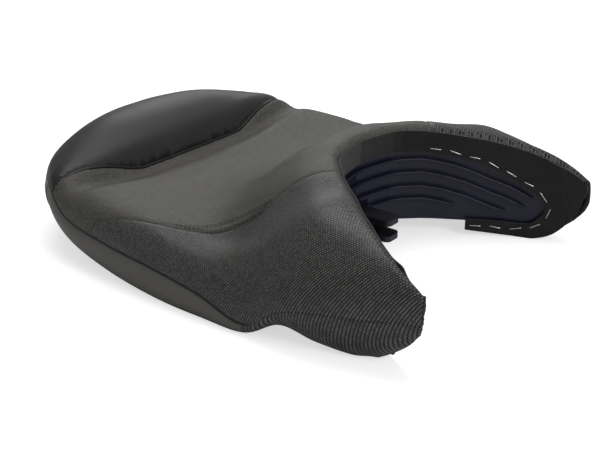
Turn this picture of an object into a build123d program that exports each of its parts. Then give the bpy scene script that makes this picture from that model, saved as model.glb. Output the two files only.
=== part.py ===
from build123d import *
import os

import numpy as np

# Motorcycle solo seat with two horns that hug the tank. +X points forward, +Z up, and the
# origin is the centre of the bounding box on the surface that the seat stands on.

# Overall sizes, in millimetres.
seat_length = 528.0
seat_width = 406.0
seat_height = 127.0

# Walls and clearances.
cover_thickness = 2.4
lining_thickness = 2.4
pan_wall = 3.0
seam_gap = 0.3
foam_gap = 0.4
hem_setback = 1.0

# Welt cord sewn into the seams around the top panels.
piping_width = 2.8
piping_proud = 1.1

# Fins moulded on the pan around the tank notch.
fin_thickness = 2.5
fin_reach = 6.0
fin_heights = (90.0, 75.5, 60.0, 46.0)
fin_ends = (210.0, 202.0, 186.0, 141.0)

# Bosses and rubber buffers under the pan.
buffer_height = 12.0
buffer_radius = 11.0
boss_radius = 9.0
buffer_places = {
    "rear_right": (-178.0, -92.0),
    "rear_left": (-178.0, 92.0),
    "front_right": (-20.0, -128.0),
    "front_left": (-20.0, 128.0),
}

# Ribs under the pan's floor.
rib_depth = 9.0
rib_thickness = 2.4
rib_places = (-48.0, 48.0)

# Latch striker under the rear of the pan.
striker_x = -176.0
striker_radius = 5.0
striker_length = 22.0
striker_neck = 1.0
striker_undercut = 0.6
striker_plate_size = (64.0, 36.0, 2.0)
striker_screw_pitch = 46.0

# Claw that hooks the seat to the frame, under the middle of the notch.
claw_width = 36.0
claw_reach = 46.0
claw_jaw = 6.0
claw_mouth = 11.0
claw_bottom = 27.0
claw_screw_pitch = 24.0
claw_flange = 5.0

# Screws that hold the claw and the striker plate.
screw_head_radius = 4.5
screw_head_height = 2.6
screw_socket_radius = 1.6
screw_socket_depth = 1.4

# Staples along the edge of the lining.
staple_crown = 12.8
staple_wire = 1.0
staple_leg = 1.8
staple_pitch = 24.0

# Tape tab sewn under the side seam.
tag_length = 28.0
tag_height = 9.0
tag_thickness = 1.0
tag_gap = 0.2
tag_place = -0.70

# Cross sections from the rear to the tips of the horns. Each row gives the place along half the
# length, the half width over half the seat's, and the heights over the seat's height: on the
# centre line, at 50, 78 and 92 hundredths of the half width, at the widest point and at the hem.
sections = (
    (-1.000, 0.305, 0.748, 0.732, 0.709, 0.685, 0.630, 0.535),
    (-0.947, 0.532, 0.811, 0.787, 0.748, 0.709, 0.583, 0.457),
    (-0.848, 0.739, 0.835, 0.819, 0.756, 0.693, 0.520, 0.346),
    (-0.716, 0.906, 0.724, 0.772, 0.740, 0.669, 0.457, 0.252),
    (-0.583, 0.970, 0.520, 0.567, 0.614, 0.598, 0.394, 0.173),
    (-0.394, 0.995, 0.417, 0.472, 0.551, 0.551, 0.299, 0.094),
    (-0.167, 1.000, 0.488, 0.496, 0.520, 0.457, 0.220, 0.031),
    (0.061, 1.000, 0.772, 0.677, 0.520, 0.409, 0.173, 0.000),
    (0.250, 0.995, 0.976, 0.850, 0.567, 0.394, 0.126, 0.000),
    (0.439, 0.975, 0.992, 0.945, 0.630, 0.425, 0.142, 0.031),
    (0.629, 0.941, 0.961, 0.961, 0.772, 0.583, 0.205, 0.063),
    (0.818, 0.892, 0.850, 0.850, 0.787, 0.646, 0.268, 0.000),
    (0.932, 0.857, 0.709, 0.709, 0.646, 0.614, 0.394, 0.220),
    (1.000, 0.828, 0.583, 0.583, 0.583, 0.567, 0.504, 0.441),
)
section_shares = (0.0, 0.5, 0.78, 0.92, 1.0)
hem_pull = 0.985

# Half outline of the tank notch: place along half the length, and half width over half the seat's.
notch_outline = (
    (0.311, 0.0),
    (0.318, 0.115),
    (0.345, 0.232),
    (0.447, 0.394),
    (0.545, 0.493),
    (0.648, 0.591),
    (0.765, 0.690),
    (0.856, 0.739),
    (0.924, 0.768),
    (1.100, 0.792),
)

# Upper face of the pan along the centre line: place along half the length, share of the height.
pan_profile = (
    (-1.05, 0.560),
    (-0.848, 0.490),
    (-0.716, 0.410),
    (-0.583, 0.330),
    (-0.394, 0.252),
    (-0.167, 0.236),
    (-0.015, 0.283),
    (0.117, 0.472),
    (0.250, 0.677),
    (0.311, 0.724),
    (0.439, 0.709),
    (0.629, 0.598),
    (0.818, 0.425),
    (0.932, 0.346),
    (1.050, 0.300),
)

# Part of the notch wall that the lining leaves bare, seen from the side, in shares as above.
bare_wall = (
    (0.20, 0.764),
    (0.420, 0.764),
    (0.492, 0.724),
    (0.561, 0.693),
    (0.636, 0.614),
    (0.697, 0.543),
    (0.773, 0.433),
    (0.826, 0.323),
    (0.811, 0.220),
    (0.773, 0.126),
    (0.670, 0.142),
    (0.598, 0.157),
    (0.568, -0.100),
    (0.20, -0.100),
)

# Line that the staples follow around the bare part of the wall, in the same shares.
staple_line = (
    (0.420, 0.795),
    (0.492, 0.755),
    (0.561, 0.725),
    (0.636, 0.645),
    (0.697, 0.575),
    (0.773, 0.465),
    (0.842, 0.335),
    (0.835, 0.210),
    (0.785, 0.095),
    (0.670, 0.110),
    (0.598, 0.125),
)

# Seam across the seat behind the rider: half width share and place along half the length.
rear_seam = ((0.0, -0.568), (0.40, -0.568), (0.60, -0.598), (0.84, -0.625), (1.10, -0.640))

# Seam along the side, from the rear to the front corner: place along the length, height share.
side_seam = (
    (-1.10, 0.610),
    (-0.75, 0.585),
    (-0.640, 0.551),
    (-0.583, 0.449),
    (-0.545, 0.362),
    (-0.485, 0.339),
    (-0.295, 0.307),
    (-0.076, 0.276),
    (0.095, 0.220),
    (0.223, 0.118),
    (0.364, 0.035),
    (0.380, -0.300),
    (1.200, -0.300),
)

# Seam between the centre panel and a front panel: place along the length, half width share.
front_seam = (
    (0.560, 0.300),
    (0.447, 0.394),
    (0.356, 0.498),
    (0.254, 0.611),
    (0.117, 0.750),
    (-0.034, 0.847),
    (-0.186, 0.916),
    (-0.337, 0.970),
    (-0.380, 1.100),
)

half_length = seat_length / 2
half_width = seat_width / 2
below_all = -30.0
above_all = seat_height + 40.0


def pan_top(x):
    """Height of the pan's upper face at x, straight between the profile's points."""
    places = [share * half_length for share, _ in pan_profile]
    heights = [share * seat_height for _, share in pan_profile]
    return float(np.interp(x, places, heights))


def notch_points(grow):
    """Half outline of the notch, moved outwards by grow along its own normals."""
    points = np.array(notch_outline) * (half_length, half_width)
    slope = np.gradient(points, axis=0)
    slope[0] = (0.0, 1.0)
    normals = np.stack([-slope[:, 1], slope[:, 0]], axis=1)
    normals /= np.linalg.norm(normals, axis=1)[:, None]
    return points + grow * normals


def body(inset, drop):
    """Closed body through the cross sections, drawn in by inset, with its hem lowered by drop."""
    with BuildPart() as solid:
        for share_x, share_w, *heights in sections:
            width = share_w * half_width - inset
            tops = [share * seat_height - inset for share in heights[:-2]]
            hem = heights[-1] * seat_height - drop
            widest = max(heights[-2] * seat_height, hem + 4)
            ys = [share * width for share in section_shares] + [hem_pull * width]
            zs = tops + [widest, hem]
            half = list(zip(ys, zs))
            outline = [(-y, z) for y, z in reversed(half[1:])] + half
            with BuildSketch(Plane.YZ.offset(share_x * (half_length - inset))):
                with BuildLine():
                    crown = Spline(outline)
                    Line(crown @ 1, crown @ 0)
                make_face()
        loft()
        with BuildSketch(Plane.XY):
            Rectangle(2 * seat_length, 2 * seat_width)
        extrude(amount=-seat_height, mode=Mode.SUBTRACT)
    return solid.part


def notch(grow):
    """Upright prism that fills the tank notch, its wall moved outwards by grow."""
    half = [tuple(point) for point in notch_points(grow)]
    outline = [(x, -y) for x, y in reversed(half[1:])] + half
    with BuildPart() as solid:
        with BuildSketch(Plane.XY.offset(below_all)):
            with BuildLine():
                wall = Spline(outline)
                Line(wall @ 1, wall @ 0)
            make_face()
        extrude(amount=above_all - below_all)
    return solid.part


def side_prism(outline):
    """Prism across the whole width whose outline is seen from the side."""
    with BuildPart() as solid:
        with BuildSketch(Plane.XZ):
            with BuildLine():
                Polyline(outline, close=True)
            make_face()
        extrude(amount=seat_width, both=True)
    return solid.part


def plan_prism(outline):
    """Prism over the whole height whose outline is seen from above."""
    with BuildPart() as solid:
        with BuildSketch(Plane.XY.offset(below_all)):
            with BuildLine():
                Polyline(outline, close=True)
            make_face()
        extrude(amount=above_all - below_all)
    return solid.part


def below_pan(drop):
    """Everything under the pan's upper face lowered by drop."""
    ends = [pan_profile[-1][0] * half_length, pan_profile[0][0] * half_length]
    top = [(share * half_length, height * seat_height - drop) for share, height in pan_profile]
    return side_prism(top + [(ends[0], below_all), (ends[1], below_all)])


def side_band(low, high):
    """Band along the side seam, from low to high millimetres above it."""
    line = [(share * half_length, height * seat_height) for share, height in side_seam]
    upper = [(x, z + high) for x, z in line]
    lower = [(x, z + low) for x, z in reversed(line)]
    return side_prism(upper + lower)


def rear_line(shift):
    """Points of the rear seam from side to side, moved forward by shift."""
    half = [(place * half_length + shift, share * half_width) for share, place in rear_seam]
    return [(x, -y) for x, y in reversed(half[1:])] + half


def rear_zone(shift):
    """Everything behind the rear seam moved forward by shift."""
    far = -1.3 * half_length
    edge = rear_line(shift)
    return plan_prism(edge + [(far, edge[-1][1]), (far, edge[0][1])])


def front_zone(side, shift):
    """Flank outside the front seam on one side, its edge moved outwards by shift."""
    line = [(place * half_length, side * (share * half_width + shift)) for place, share in front_seam]
    far_y = side * 1.4 * half_width
    corner = (1.2 * half_length, side * 0.2 * half_width)
    return plan_prism(line + [(line[-1][0], far_y), (1.2 * half_length, far_y), corner])


def label_and_write(piece, name):
    """Names a finished piece and writes it to its own file."""
    piece.label = name
    export_step(piece, f"parts/{name}.step")


def screw_set(name, places, plane_at):
    """Button screws with a socket in the head, one at each place."""
    with BuildPart() as screws:
        for place in places:
            with BuildSketch(plane_at(place)):
                Circle(screw_head_radius)
            extrude(amount=screw_head_height)
        chamfer(screws.edges().filter_by(GeomType.CIRCLE).group_by(SortBy.LENGTH)[-1], 0.4)
        for place in places:
            with BuildSketch(plane_at(place).offset(screw_head_height)):
                RegularPolygon(screw_socket_radius, 6)
            extrude(amount=-screw_socket_depth, mode=Mode.SUBTRACT)
    label_and_write(screws.part, name)


os.makedirs("parts", exist_ok=True)

outer = body(0.0, 0.0)
cover_inside = body(cover_thickness, 8.0)
pan_body = body(cover_thickness + seam_gap, -hem_setback)
pan_inside = body(cover_thickness + seam_gap + pan_wall, 8.0)
foam_body = body(cover_thickness + foam_gap, 8.0)
piping_body = body(-piping_proud, 0.0)

# The wall of the notch, from the open side outwards: lining, gap, pan, gap, foam.
lining_back = lining_thickness
pan_face = lining_back + seam_gap
pan_back = pan_face + pan_wall
foam_face = pan_back + foam_gap
side_top = side_band(seam_gap / 2, 2 * seat_height)
side_under = side_band(-2 * seat_height, -seam_gap / 2 - piping_width)
side_cord = side_band(-piping_width, -seam_gap / 2)

# Foam cushion on the pan.
with BuildPart() as foam_core:
    add(foam_body)
    add(cover_inside, mode=Mode.INTERSECT)
    add(notch(foam_face), mode=Mode.SUBTRACT)
    add(below_pan(-foam_gap), mode=Mode.SUBTRACT)
label_and_write(foam_core.part, "foam_core")

# The sewn cover, before it is parted at its seams.
with BuildPart() as cover:
    add(outer)
    add(cover_inside, mode=Mode.SUBTRACT)
    add(notch(pan_face), mode=Mode.SUBTRACT)

with BuildPart() as upper_cover:
    add(cover.part)
    add(side_top, mode=Mode.INTERSECT)

with BuildPart() as rear_panel:
    add(upper_cover.part)
    add(rear_zone(0.0), mode=Mode.INTERSECT)
label_and_write(rear_panel.part, "rear_panel")

with BuildPart() as centre_panel:
    add(upper_cover.part)
    add(rear_zone(piping_width + 2 * seam_gap), mode=Mode.SUBTRACT)
    add(front_zone(1, 0.0), mode=Mode.SUBTRACT)
    add(front_zone(-1, 0.0), mode=Mode.SUBTRACT)
label_and_write(centre_panel.part, "centre_panel")

for side, word in ((-1, "right"), (1, "left")):
    with BuildPart() as front_panel:
        add(upper_cover.part)
        add(front_zone(side, seam_gap), mode=Mode.INTERSECT)
    label_and_write(front_panel.part, f"{word}_front_panel")

    edge_y = side * seam_gap / 2
    far_y = side * 1.4 * half_width
    far_x = 1.4 * half_length
    half_space = plan_prism([(-far_x, edge_y), (far_x, edge_y), (far_x, far_y), (-far_x, far_y)])
    with BuildPart() as side_panel:
        add(cover.part)
        add(side_under, mode=Mode.INTERSECT)
        add(half_space, mode=Mode.INTERSECT)
    label_and_write(side_panel.part, f"{word}_side_panel")

    with BuildPart() as side_piping:
        add(piping_body)
        add(cover_inside, mode=Mode.SUBTRACT)
        add(side_cord, mode=Mode.INTERSECT)
        add(half_space, mode=Mode.INTERSECT)
        add(notch(pan_face), mode=Mode.SUBTRACT)
    label_and_write(side_piping.part, f"{word}_side_piping")

rear_strip = rear_line(seam_gap) + list(reversed(rear_line(seam_gap + piping_width)))
with BuildPart() as rear_piping:
    add(piping_body)
    add(cover_inside, mode=Mode.SUBTRACT)
    add(plan_prism(rear_strip), mode=Mode.INTERSECT)
    add(side_top, mode=Mode.INTERSECT)
label_and_write(rear_piping.part, "rear_piping")

# Staple places along the lining's edge, level by level on the wall of the notch.
wall_line = notch_points(0.0)
line_x = np.array([x * half_length for x, _ in staple_line])
line_z = np.array([z * seat_height for _, z in staple_line])
line_y = np.interp(line_x, wall_line[:, 0], wall_line[:, 1])
steps = np.sqrt(np.diff(line_x) ** 2 + np.diff(line_y) ** 2 + np.diff(line_z) ** 2)
travel = np.concatenate([[0.0], np.cumsum(steps)])
staple_count = int(travel[-1] // staple_pitch)
staple_planes = []
for number in range(staple_count):
    here = (number + 0.5) * travel[-1] / staple_count
    before, after = here - staple_crown / 2, here + staple_crown / 2
    a = [float(np.interp(before, travel, row)) for row in (line_x, line_y, line_z)]
    b = [float(np.interp(after, travel, row)) for row in (line_x, line_y, line_z)]
    for side in (-1, 1):
        start = Vector(a[0], side * a[1], a[2])
        end = Vector(b[0], side * b[1], b[2])
        along = (end - start).normalized()
        inwards = Vector(along.Y, -along.X, 0).normalized() * side
        staple_planes.append(Plane(origin=(start + end) * 0.5, x_dir=along, z_dir=inwards))

with BuildPart() as staples:
    for plane in staple_planes:
        with BuildSketch(plane.offset(staple_wire / 2)):
            Rectangle(staple_crown, staple_wire)
        extrude(amount=staple_wire)
        with BuildSketch(plane.offset(staple_wire / 2)):
            with Locations(*[(end * (staple_crown - staple_wire) / 2, 0) for end in (-1, 1)]):
                Rectangle(staple_wire, staple_wire)
        extrude(amount=-staple_leg)
label_and_write(staples.part, "staples")

# Felt lining of the notch wall, from the ridge down to the fins and over the insides of the horns.
with BuildPart() as front_lining:
    add(outer)
    add(notch(lining_back), mode=Mode.INTERSECT)
    add(notch(0.0), mode=Mode.SUBTRACT)
    add(side_prism([(x * half_length, z * seat_height) for x, z in bare_wall]), mode=Mode.SUBTRACT)
    add(staples.part, mode=Mode.SUBTRACT)
label_and_write(front_lining.part, "front_lining")

# Moulded pan: a shell closed by its floor, open underneath, with a wall around the notch.
with BuildPart() as pan_hollow:
    add(pan_inside)
    add(notch(pan_back), mode=Mode.SUBTRACT)
    add(below_pan(pan_wall), mode=Mode.INTERSECT)

claw_wall_x = float(notch_points(pan_face)[0][0])
claw_top = claw_bottom + 2 * claw_jaw + claw_mouth
claw_side = claw_width / 2 + 2.0
claw_slot = plan_prism([(0, -claw_side), (half_length, -claw_side), (half_length, claw_side), (0, claw_side)])
claw_low, claw_high = claw_bottom - 2.0, claw_top + 2.0
claw_rows = [(0, claw_low), (half_length, claw_low), (half_length, claw_high), (0, claw_high)]
with BuildPart() as claw_space:
    add(claw_slot)
    add(side_prism(claw_rows), mode=Mode.INTERSECT)
claw_room = claw_space.part
edge_x = np.array([x * half_length for x, _ in bare_wall[1:8]])
edge_z = np.array([z * seat_height for _, z in bare_wall[1:8]])
striker_floor = pan_top(striker_x + striker_plate_size[0] / 2) - pan_wall - 2.0

with BuildPart() as seat_pan:
    add(pan_body)
    add(cover_inside, mode=Mode.INTERSECT)
    add(notch(pan_face), mode=Mode.SUBTRACT)
    add(below_pan(0.0), mode=Mode.INTERSECT)
    add(pan_hollow.part, mode=Mode.SUBTRACT)
    # Ribs along the floor.
    for rib_y in rib_places:
        rib = [(x * half_length, z * seat_height) for x, z in pan_profile[1:8]]
        outline = rib + [(x, z - pan_wall - rib_depth) for x, z in reversed(rib)]
        with BuildSketch(Plane.XZ.offset(-rib_y)):
            with BuildLine():
                Polyline(outline, close=True)
            make_face()
        extrude(amount=rib_thickness / 2, both=True)
    # Bosses that the buffers press onto.
    for x, y in buffer_places.values():
        with BuildSketch(Plane.XY.offset(buffer_height)):
            with Locations((x, y)):
                Circle(boss_radius)
        extrude(amount=seat_height / 2)
    # Flat pad that the striker plate is screwed to.
    with BuildSketch(Plane.XY.offset(striker_floor)):
        with Locations((striker_x, 0)):
            Rectangle(striker_plate_size[0] + 6, striker_plate_size[1] + 6)
    extrude(amount=seat_height / 2)
    # Flat pad that the claw is screwed to.
    with BuildSketch(Plane.YZ.offset(claw_wall_x - pan_wall)):
        with Locations((0, (claw_bottom + claw_top) / 2)):
            Rectangle(claw_width + 8, claw_top - claw_bottom + 8)
    extrude(amount=pan_wall + 2.0)
    add(below_pan(0.0), mode=Mode.INTERSECT)
    # Fins around the wall of the notch, each ending short of the lining and clear of the claw.
    for fin_height, fin_end in zip(fin_heights, fin_ends):
        places = [(0.2 * half_length)] + [float(x) for x in edge_x if x < fin_end] + [fin_end]
        drops = [float(np.interp(x, edge_x, edge_z)) - edge_z[0] for x in places]
        upper = [(x, fin_height + drop) for x, drop in zip(places, drops)]
        lower = [(x, z - fin_thickness) for x, z in reversed(upper)]
        fin_zone = side_prism(upper + lower)
        with BuildPart(mode=Mode.PRIVATE) as fin:
            add(notch(pan_face + 1.0))
            add(notch(pan_face - fin_reach), mode=Mode.SUBTRACT)
            add(fin_zone, mode=Mode.INTERSECT)
            add(claw_room, mode=Mode.SUBTRACT)
        add(fin.part)
label_and_write(seat_pan.part, "seat_pan")

# Steel claw: a flange on the pan's wall and two jaws with the mouth towards the tank.
claw_back = claw_wall_x + 2.0
with BuildPart() as front_claw:
    with BuildSketch(Plane.YZ.offset(claw_back)):
        with Locations((0, (claw_bottom + claw_top) / 2)):
            Rectangle(claw_width, claw_top - claw_bottom)
    extrude(amount=claw_flange)
    for jaw_z in (claw_bottom, claw_top - claw_jaw):
        with BuildSketch(Plane.XY.offset(jaw_z)):
            with Locations((claw_back + claw_reach / 2, 0)):
                RectangleRounded(claw_reach, claw_width * 0.6, claw_jaw)
        extrude(amount=claw_jaw)
label_and_write(front_claw.part, "front_claw")

screw_set(
    "claw_screws",
    (-claw_screw_pitch / 2 - 2, claw_screw_pitch / 2 + 2),
    lambda y: Plane(
        origin=(claw_back + claw_flange, y, (claw_bottom + claw_top) / 2), x_dir=(0, 1, 0), z_dir=(1, 0, 0)
    ),
)

# Latch striker: a round pin with an undercut neck, welded to a plate under the rear of the pan.
plate_low = striker_floor - striker_plate_size[2]
with BuildPart() as striker_plate:
    with BuildSketch(Plane.XY.offset(plate_low)):
        with Locations((striker_x, 0)):
            RectangleRounded(striker_plate_size[0], striker_plate_size[1], 5)
    extrude(amount=striker_plate_size[2])
label_and_write(striker_plate.part, "striker_plate")

with BuildPart() as latch_striker:
    with BuildSketch(Plane.XY.offset(plate_low)):
        with Locations((striker_x, 0)):
            Circle(striker_radius - striker_undercut)
    extrude(amount=-striker_neck)
    with BuildSketch(Plane.XY.offset(plate_low - striker_neck)):
        with Locations((striker_x, 0)):
            Circle(striker_radius)
    extrude(amount=-striker_length)
    chamfer(latch_striker.faces().sort_by(Axis.Z)[0].edges(), 1.2)
label_and_write(latch_striker.part, "latch_striker")

screw_set(
    "striker_screws",
    (-striker_screw_pitch / 2, striker_screw_pitch / 2),
    lambda x: Plane(origin=(striker_x + x, 0, plate_low), x_dir=(1, 0, 0), z_dir=(0, 0, -1)),
)

# Rubber buffers, dished on the end that meets the frame.
for word, (x, y) in buffer_places.items():
    with BuildPart() as rubber_buffer:
        with BuildSketch(Plane.XY):
            with Locations((x, y)):
                Circle(buffer_radius)
        extrude(amount=buffer_height)
        chamfer(rubber_buffer.faces().sort_by(Axis.Z)[0].edges(), 1.0)
    label_and_write(rubber_buffer.part, f"{word}_buffer")

# Tape tab sewn under the side seam near the rear, on the rider's right.
tag_high = float(np.interp(tag_place, *zip(*side_seam))) * seat_height - piping_width - 2 * seam_gap
tag_x = tag_place * half_length
tag_rear, tag_front = tag_x - tag_height / 2, tag_x + tag_height / 2
tag_low = tag_high - tag_length
tag_outline = [(tag_rear, tag_low), (tag_front, tag_low), (tag_front, tag_high), (tag_rear, tag_high)]
right_side = [(-seat_length, 0), (seat_length, 0), (seat_length, -seat_width), (-seat_length, -seat_width)]
with BuildPart() as side_tag:
    add(body(-tag_thickness - tag_gap, 0.0))
    add(body(-tag_gap, 8.0), mode=Mode.SUBTRACT)
    add(side_prism(tag_outline), mode=Mode.INTERSECT)
    add(plan_prism(right_side), mode=Mode.INTERSECT)
label_and_write(side_tag.part, "side_tag")
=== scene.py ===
import bpy
import numpy as np
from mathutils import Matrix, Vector


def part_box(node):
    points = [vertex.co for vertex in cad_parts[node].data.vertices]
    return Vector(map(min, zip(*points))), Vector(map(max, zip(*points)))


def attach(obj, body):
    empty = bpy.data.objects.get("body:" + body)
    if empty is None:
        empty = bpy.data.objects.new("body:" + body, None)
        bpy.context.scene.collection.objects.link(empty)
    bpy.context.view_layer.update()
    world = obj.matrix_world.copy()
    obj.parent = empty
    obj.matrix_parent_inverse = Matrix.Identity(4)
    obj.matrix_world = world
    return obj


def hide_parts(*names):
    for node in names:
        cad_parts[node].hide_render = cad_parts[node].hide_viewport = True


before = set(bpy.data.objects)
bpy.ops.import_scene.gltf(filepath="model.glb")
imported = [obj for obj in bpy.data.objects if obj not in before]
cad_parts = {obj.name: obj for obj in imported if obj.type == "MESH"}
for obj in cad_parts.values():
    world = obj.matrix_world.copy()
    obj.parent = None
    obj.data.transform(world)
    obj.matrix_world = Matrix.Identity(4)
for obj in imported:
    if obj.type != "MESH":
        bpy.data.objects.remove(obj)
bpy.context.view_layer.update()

bl_info = {
    "name": "Motorcycle seat",
    "version": (1, 0, 0),
    "blender": (4, 5, 0),
    "location": "3D View > Sidebar > Seat",
    "description": "Dresses the packed seat: sewn cover, piping, stitches, lining, pan and studio",
    "category": "Object",
}

MM = 0.001
UPRIGHT = np.array([0, 0, 1.0])

# Stations from the rear centre line round to the tip of a horn, in millimetres. Each has a point
# on the rim of the notch, one on the side seam or widest line, one half way down and one on the hem.
RIM = np.array([
    (82, 0, 125), (84, 16, 125), (87, 32, 125), (91, 47, 124.5), (96, 56, 124), (104, 65, 123.5),
    (112, 74, 122.5), (122, 83, 121), (140, 97, 117), (165, 116, 111), (192, 134, 104), (217, 147, 95),
    (240, 155, 84), (258, 159, 72),
], float)
WIDEST = np.array([
    (-262, 0, 72), (-252, 82, 72), (-222, 140, 71), (-182, 176, 68), (-140, 193, 46), (-75, 201, 39),
    (-10, 203, 34), (50, 203, 26), (100, 200, 11), (137, 196, 34), (172, 189, 42), (205, 180, 44),
    (236, 171, 48), (260, 164, 50),
], float)
MIDDLE = np.array([
    (-263, 0, 64), (-253, 83, 62), (-224, 142, 58), (-184, 179, 51), (-139, 196, 33), (-75, 203, 24),
    (-10, 205, 18), (50, 204, 13), (100, 201, 7), (135, 194, 26), (169, 187, 24), (200, 177, 20),
    (229, 168, 22), (249, 161, 28),
], float)
HEM = np.array([
    (-258, 0, 56), (-248, 80, 52), (-219, 137, 44), (-180, 173, 32), (-138, 190, 20), (-75, 198, 9),
    (-10, 200, 2), (50, 199, 0.5), (100, 198, 3), (134, 190, 19), (166, 181, 10), (196, 171, 4),
    (209, 161, 2), (215, 157, 1),
], float)
LAST = len(RIM) - 1
STATIONS = np.arange(-LAST, LAST + 1, dtype=float)
SIDE_END = 8.0  # the station where the side panel gives way to the front panel

# Crown heights before the edges roll off, for places along the seat and shares of the half width.
CROWN_X = np.array([
    -264, -235, -205, -182, -168, -158, -150, -120, -90, -50, -20, 10, 35, 60, 85, 110, 140, 170, 200, 230,
    264,
], float)
CROWN_SHARE = np.array([0.0, 0.25, 0.5, 0.75, 1.0])
CROWN_Z = np.array([
    (104, 104, 102, 98, 92), (106, 106, 104, 99, 91), (104, 104, 103, 97, 89), (96, 96, 95, 91, 85),
    (86, 86, 86, 84, 81), (75, 75, 76, 77, 78), (62, 62, 63, 67, 74), (55, 57, 61, 69, 76),
    (53, 55, 60, 68, 75), (57, 58, 61, 66, 72), (68, 68, 66, 65, 68), (91, 87, 74, 62, 64),
    (111, 107, 88, 62, 62), (124, 121, 101, 66, 62), (125, 125, 115, 80, 66), (125, 125, 121, 98, 74),
    (120, 120, 120, 112, 84), (112, 112, 112, 110, 90), (104, 104, 104, 103, 92), (92, 92, 92, 91, 86),
    (72, 72, 72, 72, 70),
], float)

# Seams seen from above: the rear seam's place for a half width, the front seam's half width for a place.
REAR_SEAM = np.array([(0, -150), (80, -150), (122, -157), (160, -163), (184, -167), (230, -172)], float)
FRONT_SEAM = np.array([
    (-300, 420), (-104, 206), (-89, 196), (-49, 185), (-9, 172), (31, 152), (67, 124), (94, 101), (118, 80),
    (140, 40), (300, 0),
], float)

# Cover: its flank and rim, the tucks at its seams, the swell and the puckers behind the rider.
FLANK_POWER, FLANK_POWER_PER_MM = 2.1, 0.042
RIM_ROLL, RIM_FADE, RIM_ROLL_SHARE = 8.0, 28, 0.45
REAR_TUCK_WIDTH, FRONT_TUCK_WIDTH, TUCK_LIMIT = 2.6, 2.4, 1.2
SWELL, SWELL_BACK, SWELL_WIDTH = 1.6, 12, 9
PUCKER, PUCKER_WAVE, PUCKER_DRIFT, PUCKER_FADE = 0.22, 0.42, 0.11, 9
COVER_ROWS, COVER_COLUMNS = 26 * 14 + 1, 120

# Skirt: its foot turned in under the pan, its grid and the least height of any of it.
FOOT_TURN = np.array([0.965, 0.955, 1])
SKIRT_TURN, SKIRT_COLUMNS = 1.9, 30
FRONT_ROWS, SIDE_ROWS = 121, 241
LEAST_HEIGHT = 0.4

# Thickness of each sheet.
VINYL, FELT, TAPE = 1.6, 1.8, 0.8

# Thread and cord: twin rows beside the front seams from a place on, single rows down the skirt.
THREAD, STITCH_GAP = 0.36, 1.3
TWIN_ROWS = (-4.6, -2.6, 2.6, 4.6)
TWIN_ROWS_START = -92
SIDE_STITCH_DROPS, SIDE_STITCH_SPAN = (0.10, 0.22), (2.4, 7.7)
WELT_STEP, WELT_END, WELT_OUT = 2.5, 8.15, 0.6

# Edge of the bare part of the notch wall and the outer edge of the lining, place against height.
BARE_EDGE = np.array([
    (150, 20), (165, 19), (180, 18), (196, 16), (208, 18), (217, 28), (220, 38), (214, 47), (200, 58),
    (184, 69), (168, 79), (148, 88), (130, 93), (111, 97), (96, 98), (88, 98.5), (84, 98.5), (82, 98.5),
], float)
LINING_EDGE = np.array([
    (150, 8), (165, 5), (180, 3), (200, 0.5), (214, 1), (231, 9), (248, 30), (256, 50), (258, 68),
    (240, 80), (217, 91), (184, 103), (154, 111), (130, 116), (108, 120), (93, 121), (85, 121.5), (82, 121.5),
], float)
LINING_ROWS, LINING_COLUMNS = 150, 40
FOLD, FOLD_PLACE, FOLD_WIDTH = 2.2, 262, 5.0

# Staples: the line they follow, their pitch along it, and each one's reach past and into the felt.
STAPLE_LINE = np.array([
    (152, 13), (180, 11), (205, 10), (219, 20), (226, 34), (220, 47), (204, 62), (184, 74), (168, 84),
    (148, 93), (130, 98), (111, 102),
], float)
STAPLE_PITCH, STAPLE_BEGIN, STAPLE_END = 21.5, 1.8, 14.2
STAPLE_OUT, STAPLE_IN, STAPLE_WIRE, STAPLE_TILT = -2.6, 0.4, 0.55, 1.1
STAPLE_BENDS = np.array([0.03, 0.1, 0.9, 0.97])

# Gathered hem round the tip of a horn.
HEM_OVER, HEM_DOWN, HEM_ROLL, HEM_STEP = 16, 24, 4.0, 1.4
HEM_RADIUS, HEM_GATHER = 2.4, 0.18
HEM_SHIFT = np.array([-1.5, -0.8, 0.6])

# Pan: the wall of the notch, place against its lower and its upper height, and how far out it stands.
WALL_LOW = np.array([(82, 22), (150, 17), (196, 12), (232, 8)], float)
WALL_HIGH = np.array([(82, 112), (111, 108), (148, 100), (184, 84), (232, 40)], float)
WALL_FRONT, WALL_BACK, WALL_COLUMNS = 2.4, 5.4, 24
WALL_LEAN, WALL_LEAN_HEIGHT = np.array([(82, 0), (200, 2), (258, 0)], float), 120

# Fins on that wall: heights at the middle, ends, fall along the wall, and the section (out, height).
FIN_HEIGHTS = (90.0, 75.5, 60.0, 46.0)
FIN_ENDS = (210.0, 202.0, 186.0, 141.0)
FIN_DROP = np.array([
    (82, 0), (111, -1), (130, -6), (148, -13), (168, -24), (184, -31), (204, -43), (219, -52),
], float)
FIN_SECTION = np.array([(2.6, 1.6), (-1.6, 1.4), (-3.2, 1), (-3.5, 0), (-3.2, -1), (-1.6, -1.4), (2.6, -1.6)])
FIN_TAPER, FIN_LEAST = 10, 0.05

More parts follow.
